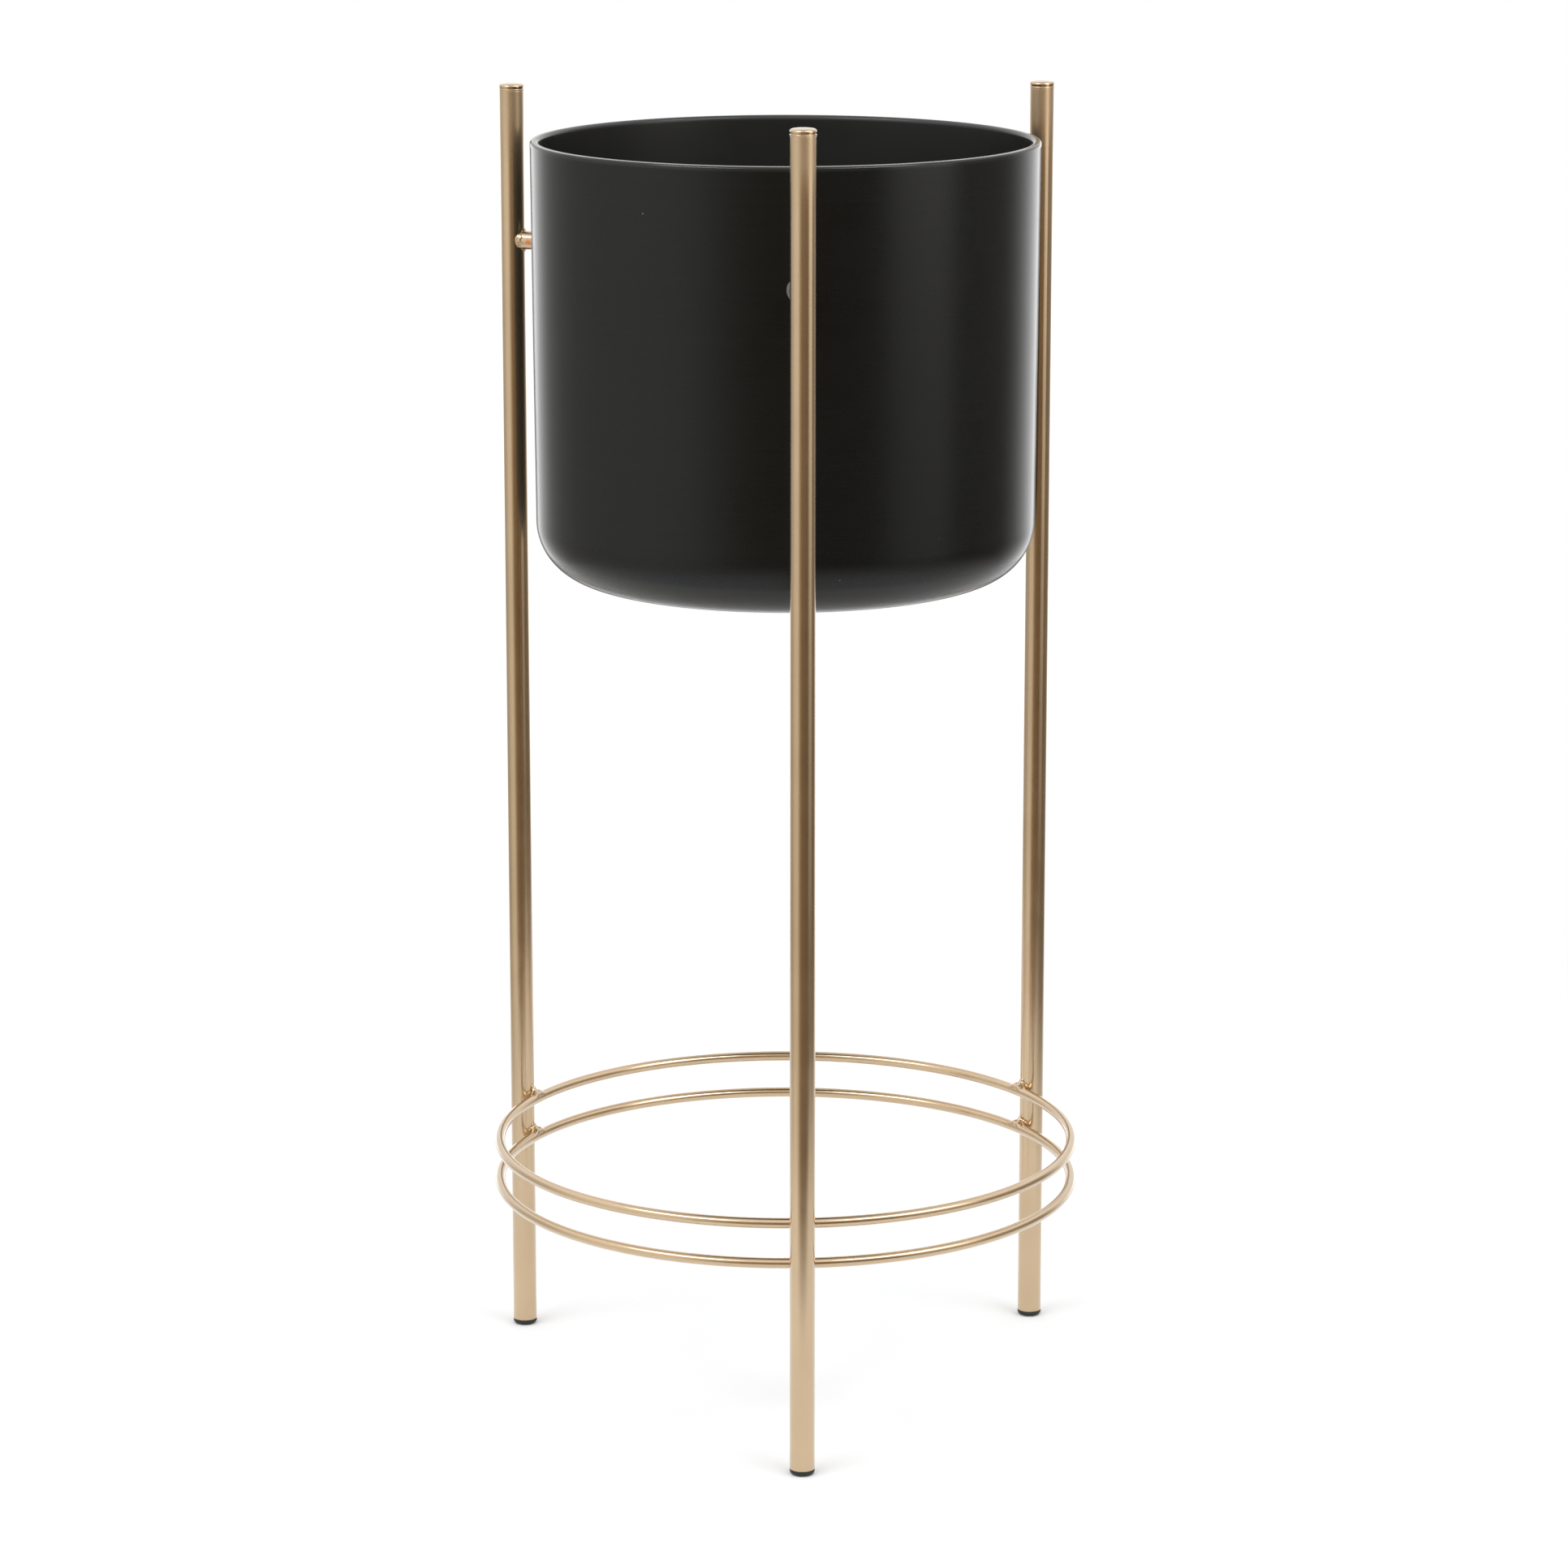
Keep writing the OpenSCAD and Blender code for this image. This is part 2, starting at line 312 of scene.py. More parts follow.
# ------------------------------------------------------------------ materials
def gold_material(name, weld=False, glint_at=None):
    m, net, b, tex = new_material(name)
    # broad drift of tone, then fine metallic flake
    broad = net.noise(tex, 26.0, 3.0, 0.55)
    flake = net.noise(tex, 2600.0, 2.0, 0.6)
    col = net.mix(net.span(broad, 0.3, 0.7), (0.540, 0.393, 0.236), (0.590, 0.432, 0.265))
    col = net.mix(net.math("MULTIPLY", net.span(flake, 0.45, 0.75), 0.35), col, (0.74, 0.60, 0.43))
    # small dark nicks in the paint
    nick = net.n("ShaderNodeTexVoronoi", feature="F1", inputs={"Vector": tex, "Scale": 160.0, "Randomness": 1.0})
    pit = net.span(nick.outputs["Distance"], 0.035, 0.075, 1.0, 0.0)
    some = net.span(net.noise(tex, 70.0, 1.0, 0.5), 0.60, 0.64)
    pit = net.math("MULTIPLY", pit, some)
    col = net.mix(net.math("MULTIPLY", pit, 0.55), col, (0.22, 0.13, 0.06))
    if weld:
        burn = net.span(net.noise(tex, 420.0, 3.0, 0.6), 0.50, 0.72)
        col = net.mix(net.math("MULTIPLY", burn, 0.30), col, (0.40, 0.27, 0.13))
    if glint_at is not None:
        # painted highlight: a warm orange glint painted into the colour as a reflection on the left standoff
        d = net.n("ShaderNodeVectorMath", operation="DISTANCE", inputs={0: tex})
        d.inputs[1].default_value = glint_at
        glint_spot = net.span(d.outputs["Value"], 0.0010, 0.0019, 1.0, 0.0, smooth=True)
        ragged = net.span(net.noise(tex, 700.0, 2.0, 0.6), 0.30, 0.45)
        col = net.mix(net.math("MULTIPLY", glint_spot, ragged), col, (0.70, 0.21, 0.05))
    link(net, col, b, "Base Color")
    b.inputs["Metallic"].default_value = 0.90
    rough = net.math("ADD", net.span(net.noise(tex, 55.0, 3.0, 0.6), 0.3, 0.7, 0.165, 0.215), net.math("MULTIPLY", pit, 0.2))
    if weld:
        rough = net.math("ADD", rough, 0.05)
    # the tube ends were buffed less than the rest
    up = net.n("ShaderNodeSeparateXYZ", inputs={0: tex}).outputs[2]
    ends = net.math("MULTIPLY", net.span(up, 0.630, 0.668, 0.0, 0.26, smooth=True), net.span(up, (TUBE_TOP - 0.2) * MM, (TUBE_TOP + 0.1) * MM, 1.0, 0.0))
    rough = net.math("ADD", rough, ends)
    link(net, rough, b, "Roughness")
    b.inputs["Coat Weight"].default_value = 1.0
    b.inputs["Coat Roughness"].default_value = 0.08
    b.inputs["Coat IOR"].default_value = 1.45
    peel = net.noise(tex, 620.0, 2.0, 0.5)
    fine = net.noise(tex, 2100.0, 2.0, 0.55)
    h = net.math("ADD", peel, net.math("MULTIPLY", fine, 0.35))
    h = net.math("SUBTRACT", h, net.math("MULTIPLY", pit, 0.8))
    if weld:
        ripple = net.n("ShaderNodeTexNoise", inputs={"Vector": tex, "Scale": 900.0, "Detail": 3.0, "Roughness": 0.6, "Distortion": 0.6}).outputs[0]
        h = net.math("ADD", h, net.math("MULTIPLY", ripple, 2.2))
    link(net, bump(net, h, 0.30, 0.00002 if not weld else 0.00005), b, "Normal")
    return m


def pot_material(name):
    m, net, b, tex = new_material(name)
    sep = net.n("ShaderNodeSeparateXYZ", inputs={0: tex})
    x, y, z = sep.outputs[0], net.math("SUBTRACT", sep.outputs[1], AXIS_Y * MM), sep.outputs[2]
    ang = net.math("ARCTAN2", y, x)
    # coordinates that run long round the pot and short up it, for turning lines
    cs = net.math("COSINE", ang)
    sn = net.math("SINE", ang)
    turned = net.n("ShaderNodeCombineXYZ", inputs={0: net.math("MULTIPLY", cs, 1.6), 1: net.math("MULTIPLY", sn, 1.6), 2: net.math("MULTIPLY", z, 420.0)}).outputs[0]
    lines = net.noise(turned, 1.0, 3.0, 0.6)
    turned2 = net.n("ShaderNodeCombineXYZ", inputs={0: net.math("MULTIPLY", cs, 5.0), 1: net.math("MULTIPLY", sn, 5.0), 2: net.math("MULTIPLY", z, 1500.0)}).outputs[0]
    hair = net.noise(turned2, 1.0, 2.0, 0.6)
    cloud = net.noise(tex, 14.0, 3.0, 0.55)
    grain = net.noise(tex, 1700.0, 2.0, 0.6)
    col = net.mix(net.span(cloud, 0.3, 0.7), (0.0040, 0.0052, 0.0052), (0.0052, 0.0064, 0.0064))
    col = net.mix(net.math("MULTIPLY", net.span(lines, 0.45, 0.7), 0.35), col, (0.0072, 0.0084, 0.0080))
    # a few pale specks of dust
    v = net.n("ShaderNodeTexVoronoi", feature="F1", inputs={"Vector": tex, "Scale": 42.0, "Randomness": 1.0})
    speck = net.span(v.outputs["Distance"], 0.016, 0.024, 1.0, 0.0)
    keep = net.span(net.n("ShaderNodeSeparateColor", inputs={0: v.outputs["Color"]}).outputs[0], 0.80, 0.82)
    speck = net.math("MULTIPLY", speck, keep)
    col = net.mix(net.math("MULTIPLY", speck, 0.35), col, (0.30, 0.29, 0.27))
    # the inside is painted paler, a painted reflection of the overhead light inside the bowl, and is made rougher
    rad = net.math("SQRT", net.math("ADD", net.math("MULTIPLY", x, x), net.math("MULTIPLY", y, y)))
    wall_mid = net.span(z, WALL_LOW_Z * MM, RIM_Z * MM, (POT_LOW_R - LIP_OUT - 0.6) * MM, (POT_TOP_R - LIP_OUT - 0.6) * MM)
    inside = net.span(net.math("SUBTRACT", wall_mid, rad), 0.0008, 0.0022, smooth=True)
    inside = net.math("MULTIPLY", inside, net.span(z, (BASE_Z + 1.5) * MM, (BASE_Z + 4.0) * MM))
    inside = net.math("MULTIPLY", inside, net.span(z, (RIM_Z - 0.4) * MM, (RIM_Z - 2.6) * MM))
    col = net.mix(inside, col, (0.0185, 0.0185, 0.0170))
    # the lip is painted paler as a painted highlight, patchy along its length, and made smoother; a brighter painted
    # highlight line runs along its crest
    lip_highlight_patches = net.span(cloud, 0.3, 0.7, 0.75, 1.0)
    lip = net.span(z, (RIM_Z - 2.8) * MM, (RIM_Z - 1.9) * MM, smooth=True)
    bore = net.span(rad, (POT_TOP_R - 2.5) * MM, (POT_TOP_R - 2.2) * MM, 1.0, 0.0)
    col = net.mix(net.math("MULTIPLY", lip, lip_highlight_patches), col, net.mix(bore, (0.021, 0.022, 0.021), (0.052, 0.052, 0.050)))
    # painted highlight: a pale line painted along the outer crest of the lip
    crest = net.math("MULTIPLY", net.span(z, (RIM_Z - 0.30) * MM, (RIM_Z - 0.14) * MM), net.math("SUBTRACT", 1.0, bore))
    col = net.mix(net.math("MULTIPLY", crest, lip_highlight_patches), col, (0.200, 0.200, 0.194))
    link(net, col, b, "Base Color")
    b.inputs["IOR"].default_value = 1.37
    b.inputs["Specular IOR Level"].default_value = 0.5
    # satin seen square on, glossier at a glancing angle, as a fine-ground glaze is
    facing = net.n("ShaderNodeLayerWeight", inputs={"Blend": 0.5}).outputs["Facing"]
    rough = net.math("ADD", net.span(facing, 0.25, 0.85, 0.27, 0.115, smooth=True), net.span(net.noise(tex, 60.0, 3.0, 0.6), 0.3, 0.7, -0.02, 0.02))
    rough = net.math("ADD", rough, net.math("MULTIPLY", net.span(hair, 0.4, 0.7), 0.03))
    rough = net.math("ADD", rough, net.math("MULTIPLY", net.span(facing, 0.85, 0.95, 0.0, 0.36, smooth=True), net.math("SUBTRACT", 1.0, lip)))
    rough = net.math("ADD", rough, net.math("MULTIPLY", inside, 0.12))
    rough = net.math("SUBTRACT", rough, net.math("MULTIPLY", lip, net.span(facing, 0.25, 0.7, 0.13, 0.0)))
    link(net, rough, b, "Roughness")
    h = net.math("ADD", net.math("MULTIPLY", lines, 1.0), net.math("MULTIPLY", hair, 0.16))
    h = net.math("ADD", h, net.math("MULTIPLY", grain, 0.20))
    h = net.math("ADD", h, net.math("MULTIPLY", net.noise(tex, 240.0, 2.0, 0.5), 0.6))
    h = net.math("ADD", h, net.math("MULTIPLY", speck, 1.5))
    link(net, bump(net, h, 0.40, 0.000025), b, "Normal")
    return m


def plain_material(name, lo, hi, rough, scale, bump_mm, metallic=0.0, scratch=False, ior=1.45):
    m, net, b, tex = new_material(name)
    a = net.noise(tex, scale * 0.15, 3.0, 0.6)
    g = net.noise(tex, scale, 2.0, 0.6)
    col = net.mix(net.span(a, 0.3, 0.7), lo, hi)
    col = net.mix(net.math("MULTIPLY", net.span(g, 0.5, 0.8), 0.25), col, tuple(min(1.0, c * 1.5 + 0.01) for c in hi))
    link(net, col, b, "Base Color")
    b.inputs["Metallic"].default_value = metallic
    b.inputs["IOR"].default_value = ior
    r = net.span(net.noise(tex, scale * 0.4, 3.0, 0.6), 0.3, 0.7, rough[0], rough[1])
    h = net.math("ADD", g, net.math("MULTIPLY", a, 0.6))
    if scratch:
        sc = net.n("ShaderNodeTexNoise", inputs={"Vector": net.n("ShaderNodeMapping", inputs={"Vector": tex, "Scale": (1.0, 1.0, 9.0)}).outputs[0], "Scale": scale, "Detail": 3.0}).outputs[0]
        h = net.math("ADD", h, net.math("MULTIPLY", sc, 0.8))
        r = net.math("ADD", r, net.math("MULTIPLY", net.span(sc, 0.4, 0.7), 0.1))
    link(net, r, b, "Roughness")
    link(net, bump(net, h, 0.6, bump_mm * MM), b, "Normal")
    return m


def at(side, r, t, z):
    """Row-frame point, metres, from radius r and sideways t (mm) at one leg."""
    return tuple(leg_matrix(side) @ Vector((r * MM, t * MM, z * MM)))


gold = gold_material("gold_satin")
gold_weld = gold_material("gold_weld", weld=True)
# gold with a painted orange glint (a painted reflection), used on the left standoff
gold_glinted = gold_material("gold_glinted", glint_at=at("left", 148.6, 4.8, 596.8))
pot_black = pot_material("pot_black_glaze")
foot_black = plain_material("foot_black", (0.010, 0.010, 0.009), (0.020, 0.020, 0.018), (0.42, 0.60), 1400.0, 0.03)
washer_grey = plain_material("washer_grey", (0.16, 0.16, 0.155), (0.24, 0.24, 0.23), (0.45, 0.60), 1200.0, 0.03)
rubber = plain_material("seal_rubber", (0.012, 0.012, 0.012), (0.024, 0.024, 0.024), (0.60, 0.78), 900.0, 0.04)
zinc = plain_material("screw_zinc", (0.50, 0.50, 0.48), (0.66, 0.65, 0.60), (0.20, 0.34), 1100.0, 0.015, metallic=1.0, scratch=True)

# ------------------------------------------------------------------ legs, caps and feet
for side in ("front", "left", "right"):
    M = leg_matrix(side) @ Matrix.Translation((LEG_R * MM, 0, 0))

    zs = [FOOT_H + 0.5 + (TUBE_TOP - CHAMFER - 0.3 - FOOT_H - 0.5) * i / 24 for i in range(25)]
    prof = [(TUBE_IR, FOOT_H), (TUBE_R - 0.25, FOOT_H), (TUBE_R - 0.07, FOOT_H + 0.08), (TUBE_R, FOOT_H + 0.28)]
    prof += [(TUBE_R, z) for z in zs]
    prof += [(TUBE_R, TUBE_TOP - 0.16), (TUBE_R - 0.05, TUBE_TOP - 0.05), (TUBE_R - 0.16, TUBE_TOP), (TUBE_IR, TUBE_TOP)]
    prof += [(TUBE_IR, z) for z in reversed(zs[::6])]
    leg = lathe("leg_tube_" + side, prof, 96, M, closed=True)
    sharpen(leg, 50)
    finish_piece(leg, "leg_" + side, gold)

    # cap: stem, flange pressed on the tube end, groove, bulged side, soft shoulder, crown
    top = TUBE_TOP + CAP_H + CROWN_RISE
    prof = [(0, TUBE_TOP - 9.0), (TUBE_IR - 0.85, TUBE_TOP - 9.0), (TUBE_IR - 0.05, TUBE_TOP - 7.5), (TUBE_IR - 0.05, TUBE_TOP + 0.01)]
    prof += [(TUBE_R - 0.02, TUBE_TOP + 0.01), (CAP_R - 0.12, TUBE_TOP + 0.04), (CAP_R - 0.02, TUBE_TOP + 0.12), (CAP_R, TUBE_TOP + 0.24)]
    prof += arc(CAP_R - 0.50, TUBE_TOP + 0.26, 0.50, 4, 66, 12)
    prof += [(CAP_R - 0.30, TUBE_TOP + 0.78), (CAP_R - 0.32, TUBE_TOP + 0.84), (CAP_R - 0.28, TUBE_TOP + 0.90), (CAP_R - 0.16, TUBE_TOP + 0.97)]
    # round shoulder running tangent into a dome
    full, dome_r, rise = CAP_R - 0.04, 5.38, 0.42
    dome_R = (dome_r ** 2 + rise ** 2) / (2 * rise)
    lean = math.asin(dome_r / dome_R)
    sh = (full - dome_r) / (1 - math.sin(lean))
    zc = top - rise - sh * math.cos(lean)
    for i in range(-2, 25):
        a = (math.pi / 2 - lean) * i / 24
        prof.append((full - sh + sh * math.cos(a), zc + sh * math.sin(a)))
    for i in range(1, 12):
        a = lean * (1 - i / 12)
        prof.append((dome_R * math.sin(a), top - dome_R * (1 - math.cos(a))))
    prof.append((0, top))
    cap = lathe("cap_" + side, prof, 96, M)
    sharpen(cap, 50)
    finish_piece(cap, "top_cap_" + side, gold)

    prof = [(0, 0.0), (TUBE_R - FOOT_EDGE - 1.4, 0.0), (TUBE_R - FOOT_EDGE - 0.3, 0.02)]
    prof += arc(TUBE_R - FOOT_EDGE, FOOT_EDGE, FOOT_EDGE, -90, 0, 14)
    prof += [(TUBE_R, FOOT_H - 0.35), (TUBE_R - 0.07, FOOT_H - 0.10), (TUBE_R - 0.25, FOOT_H - 0.02)]
    prof += [(TUBE_IR - 0.05, FOOT_H - 0.02), (TUBE_IR - 0.05, FOOT_H + 9.5), (TUBE_IR - 0.85, FOOT_H + 11.0), (0, FOOT_H + 11.0)]
    foot = lathe("glide_" + side, prof, 80, M)
    sharpen(foot, 50)
    finish_piece(foot, "foot_" + side, foot_black)

# ------------------------------------------------------------------ rings
for name, z in (("upper", RING_Z[0]), ("lower", RING_Z[1])):
    r = torus("ring_wire_" + name, RING_R, WIRE_R, z, 288, 32, AXIS_Y)
    finish_piece(r, "ring_" + name, gold)

# ------------------------------------------------------------------ weld beads, ring to leg
rnd = random.Random(4)
for side in ("front", "left", "right"):
    balls = []
    for z in RING_Z:
        # up the tube: thick below, running out to a soft point above
        for i in range(15):
            k = i / 14
            balls.append(((RING_OUT + 0.95 - 0.15 * k, 0.12 * math.sin(3.0 * k + z), z + 1.3 + 6.1 * k), 2.55 - 1.60 * k))
        balls.append(((RING_OUT - 0.75, rnd.uniform(-0.25, 0.25), z + 4.0), 1.75))
        balls.append(((RING_OUT - 0.15, rnd.uniform(-0.2, 0.2), z + 5.6), 1.35))
        # along the wire on both sides: a ridge that comes down the tube and sinks into the wire
        for s in (-1, 1):
            for i in range(1, 8):
                k = i / 7
                t = s * (0.8 + 4.3 * k)
                rr = RING_R + 0.75 * (1 - k) - (RING_R - math.sqrt(RING_R ** 2 - t ** 2))
                balls.append(((rr, t, z + 1.7 * (1 - k) ** 1.3 + 0.10), WIRE_R + 0.35 * (1 - k) + 0.04))
        # a run of metal under the wire
        balls.append(((RING_OUT + 0.15, rnd.uniform(-0.8, 0.8), z - 2.45), 1.15))
    w = blob("ring_bead_" + side, balls, leg_matrix(side), voxel=0.26, rounds=7, lump=0.13)
    finish_piece(w, "ring_welds_" + side, gold_weld)

# ------------------------------------------------------------------ standoffs and their welds
for side in ("front", "left", "right"):
    L = leg_matrix(side) @ Matrix.Translation((0, 0, STAND_Z * MM)) @ Matrix.Rotation(math.radians(90), 4, "Y")
    # along local Z (outward): from the washer to inside the weld
    r0, r1 = WASHER_FACE, LEG_R - TUBE_R + 1.0
    prof = [(2.6, r0), (STAND_R - 0.35, r0), (STAND_R - 0.1, r0 + 0.1), (STAND_R, r0 + 0.35)]
    prof += [(STAND_R, r0 + 0.35 + (r1 - r0 - 0.35) * i / 8) for i in range(1, 9)]
    prof += [(0, r1), (0, r0 + 15.0), (2.6, r0 + 14.0)]
    prof = [p for p in prof]
    body = lathe("standoff_bar_" + side, prof[:-3] + [(2.6, r1)], 80, L, closed=True)
    sharpen(body, 50)
    finish_piece(body, "standoff_" + side, gold_glinted if side == "left" else gold)

    balls = []
    for i in range(60):
        t = 2 * math.pi * i / 60
        side_ness = math.sin(t) ** 2
        rad = 0.50 + 0.30 * side_ness + 0.08 * math.sin(6 * t + 0.6) + rnd.uniform(-0.05, 0.05)
        reach = 7.0 + 1.35 * side_ness + 0.22 * math.sin(7 * t + 0.8)
        n = 2 + int(round(3 * side_ness))
        for j in range(n + 1):
            q = j / n
            power = 0.60 + 0.40 * q
            yy = 4.50 * math.copysign(abs(math.sin(t)) ** power, math.sin(t))
            zz = (3.75 + 0.65 * q) * math.copysign(abs(math.cos(t)) ** power, math.cos(t))
            depth = math.sqrt(TUBE_R ** 2 - yy ** 2) + 0.15
            dd = depth + (reach - rad - depth) * q
            balls.append(((LEG_R - dd, yy * (1.0 + 0.02 * math.sin(9 * t + 2.3 * j)), STAND_Z + zz), rad * (1.0 + 0.16 * math.sin(3.1 * j + 5 * t))))
    for s in (-1, 1):
        for i in range(11):
            yy = -2.6 + 0.42 * i
            depth = math.sqrt(TUBE_R ** 2 - yy ** 2)
            rise = 5.95 - 0.16 * (yy + 0.9) ** 2
            balls.append(((LEG_R - depth - 0.05, yy, STAND_Z + s * rise), 0.34))
            balls.append(((LEG_R - depth - 0.20, yy, STAND_Z + s * (rise - 0.55)), 0.46))
    w = blob("standoff_bead_" + side, balls, leg_matrix(side), voxel=0.17, rounds=1, lump=0.12)
    finish_piece(w, "standoff_weld_" + side, gold_weld)

# ------------------------------------------------------------------ pot
prof = [(0, BASE_Z)]
prof += [(POT_LOW_R - CORNER_R) * i / 10 and ((POT_LOW_R - CORNER_R) * i / 10, BASE_Z) for i in range(1, 11)]
prof += arc(POT_LOW_R - CORNER_R, WALL_LOW_Z, CORNER_R, -90, 0, 36)
prof += [(pot_r(z), z) for z in [WALL_LOW_Z + (RIM_Z - LIP_OUT - WALL_LOW_Z) * i / 60 for i in range(1, 61)]]
prof.pop()
# the lip: a small round, a narrow sloping band and a second round outside, a land that falls
# slightly outward on top, and a round into the bore
LAND_TILT, LAND_W = -4.0, 1.25
steps = [(0, 27, 0.80 * math.radians(27), 5), (27, 33, 0.55, 5), (33, 90 + LAND_TILT, 0.95 * math.radians(57 + LAND_TILT), 12), (90 + LAND_TILT, 90 + LAND_TILT, LAND_W, 4)]
outer = sum(math.sin(math.radians(a + (b - a) * (i + 0.5) / n)) * length / n for a, b, length, n in steps for i in range(n))
bore_r = (WALL - outer) / (1 + math.cos(math.radians(90 + LAND_TILT)))
steps.append((90 + LAND_TILT, 180, bore_r * math.radians(90 - LAND_TILT), 14))
walk, px, pz = [], POT_TOP_R, 0.0
for a, b, length, n in steps:
    for i in range(n):
        m = math.radians(a + (b - a) * (i + 0.5) / n)
        px, pz = px - math.sin(m) * length / n, pz + math.cos(m) * length / n
        walk.append((px, pz))
crest = max(q for _, q in walk)
prof.append((POT_TOP_R, RIM_Z - crest))
prof += [(px, RIM_Z - crest + pz) for px, pz in walk]
bore_z = prof[-1][1]
ci = CORNER_R - WALL
zi = BASE_Z + FLOOR_T + ci
prof += [(pot_r(z) - WALL, z) for z in [bore_z + (zi - bore_z) * i / 50 for i in range(1, 51)]]
prof += arc(POT_LOW_R - WALL - ci, zi, ci, 0, -90, 28)
prof += [((POT_LOW_R - WALL - ci) * (1 - i / 8), BASE_Z + FLOOR_T) for i in range(1, 8)]
prof += [(0, BASE_Z + FLOOR_T)]


def pot_warp(r, z, t):
    # hand-turned unevenness, a tenth of a millimetre at most, always inward
    w = 0.5 + 0.5 * noise.noise(Vector((math.cos(t) * 0.9, math.sin(t) * 0.9, z * 0.012)))
    return r - 0.12 * w * min(1.0, r / 60.0), z


pot = lathe("pot_shell", prof, 288, Matrix.Translation((0, AXIS_Y * MM, 0)), warp=pot_warp)
finish_piece(pot, "planter_pot", pot_black)

# ------------------------------------------------------------------ small carried-over parts
for side in ("front", "left", "right"):
    for stem, mat in (("outer_washer_", washer_grey), ("seal_washer_", rubber), ("steel_washer_", zinc), ("pot_screw_", zinc)):
        ob = nodes[stem + side]
        ob.data.materials.clear()
        ob.data.materials.append(mat)

# ------------------------------------------------------------------ floor
fm, net, b, tex = new_material("floor_white")
link(net, net.mix(net.span(net.noise(tex, 3.0, 3.0, 0.5), 0.3, 0.7), (0.885, 0.885, 0.876), (0.905, 0.905, 0.896)), b, "Base Color")
b.inputs["Roughness"].default_value = 0.9
b.inputs["Specular IOR Level"].default_value = 0.1
fsep = net.n("ShaderNodeSeparateXYZ", inputs={0: tex})
fy = net.math("SUBTRACT", fsep.outputs[1], 0.10)
fr = net.math("SQRT", net.math("ADD", net.math("MULTIPLY", fsep.outputs[0], fsep.outputs[0]), net.math("MULTIPLY", fy, fy)))
solid = net.math("MULTIPLY", net.span(fsep.outputs[1], -0.63, -0.34, smooth=True), net.span(fr, 0.98, 0.74, smooth=True))
solid = net.math("MULTIPLY", solid, net.span(net.math("ABSOLUTE", fsep.outputs[0]), 0.90, 0.28, smooth=True))
clear = net.n("ShaderNodeBsdfTransparent")
blend = net.n("ShaderNodeMixShader", inputs={0: solid, 1: clear.outputs[0], 2: b.outputs[0]})
link(net, blend.outputs[0], [q for q in net.t.nodes if q.bl_idname == "ShaderNodeOutputMaterial"][0], "Surface")
seg, verts, faces = 128, [(0.0, 100.0, 0.0)], []
for i in range(seg):
    a = 2 * math.pi * i / seg
    verts.append((1000.0 * math.cos(a), 100.0 + 1000.0 * math.sin(a), 0.0))
for i in range(seg):
    faces.append((0, 1 + i, 1 + (i + 1) % seg))
floor = make("studio_floor", verts, faces, Matrix.Translation((0, 0, -0.00005)), smooth=False)
floor.data.materials.append(fm)

# a white card standing to the right in front, out of the picture, seen only in reflections
cm, net, b, tex = new_material("reflector_card")
net.t.nodes.remove(b)
csep = net.n("ShaderNodeSeparateXYZ", inputs={0: tex})
CX, CY = 0.810, -0.496
cl = math.hypot(CX, CY)
along = net.math("ADD", net.math("MULTIPLY", csep.outputs[0], -CY / cl), net.math("MULTIPLY", csep.outputs[1], CX / cl))
wide = net.math("MULTIPLY", net.span(along, -0.37, -0.21, smooth=True), net.span(along, 0.29, 0.19, smooth=True))
wide = net.math("MULTIPLY", wide, net.span(along, -0.15, 0.18, 0.90, 1.12))
tall = net.math("MULTIPLY", net.ramp(net.span(csep.outputs[2], 0.0, 1.1), [(0.03, 0.0), (0.07, 0.065), (0.12, 0.072), (0.20, 0.092), (0.29, 0.150), (0.40, 0.190), (0.49, 0.240), (0.56, 0.34), (0.64, 0.56), (0.76, 0.80), (0.92, 0.80), (1.0, 0.0)]), 3.4)
glow = net.n("ShaderNodeEmission", inputs={"Color": (1.0, 0.985, 0.96, 1.0), "Strength": net.math("MULTIPLY", wide, tall)})
both = net.n("ShaderNodeAddShader", inputs={0: net.n("ShaderNodeBsdfTransparent").outputs[0], 1: glow.outputs[0]})
link(net, both.outputs[0], [q for q in net.t.nodes if q.bl_idname == "ShaderNodeOutputMaterial"][0], "Surface")
ux, uy = -CY / cl * 430, CX / cl * 430
card = make("studio_card", [(CX * 1000 + s * ux, CY * 1000 + s * uy, z) for s, z in ((-1, 20.0), (1, 20.0), (1, 1100.0), (-1, 1100.0))], [(0, 1, 2, 3)], smooth=False)
card.data.materials.append(cm)
card.visible_camera = card.visible_diffuse = card.visible_transmission = card.visible_volume_scatter = card.visible_shadow = False

# ------------------------------------------------------------------ studio light
world = bpy.data.worlds.new("studio")
bpy.context.scene.world = world
world.use_nodes = True
w = Net(world.node_tree)
out = w.n("ShaderNodeOutputWorld")
d = w.n("ShaderNodeSeparateXYZ", inputs={0: w.n("ShaderNodeTexCoord").outputs["Generated"]})
dx, dy, dz = d.outputs
# compass angle, 0 toward the viewer's side (-Y), growing to the right (+X), as 0..1
phi = w.math("ARCTAN2", dx, w.math("MULTIPLY", dy, -1.0))
turn = w.math("ADD", w.math("DIVIDE", phi, 2 * math.pi), 0.5 + 3.0 / 360.0)
elev = w.math("MULTIPLY", w.math("ARCSINE", w.math("MINIMUM", w.math("MAXIMUM", dz, -1.0), 1.0)), 180 / math.pi)


def deg(a):
    return 0.5 + a / 360.0


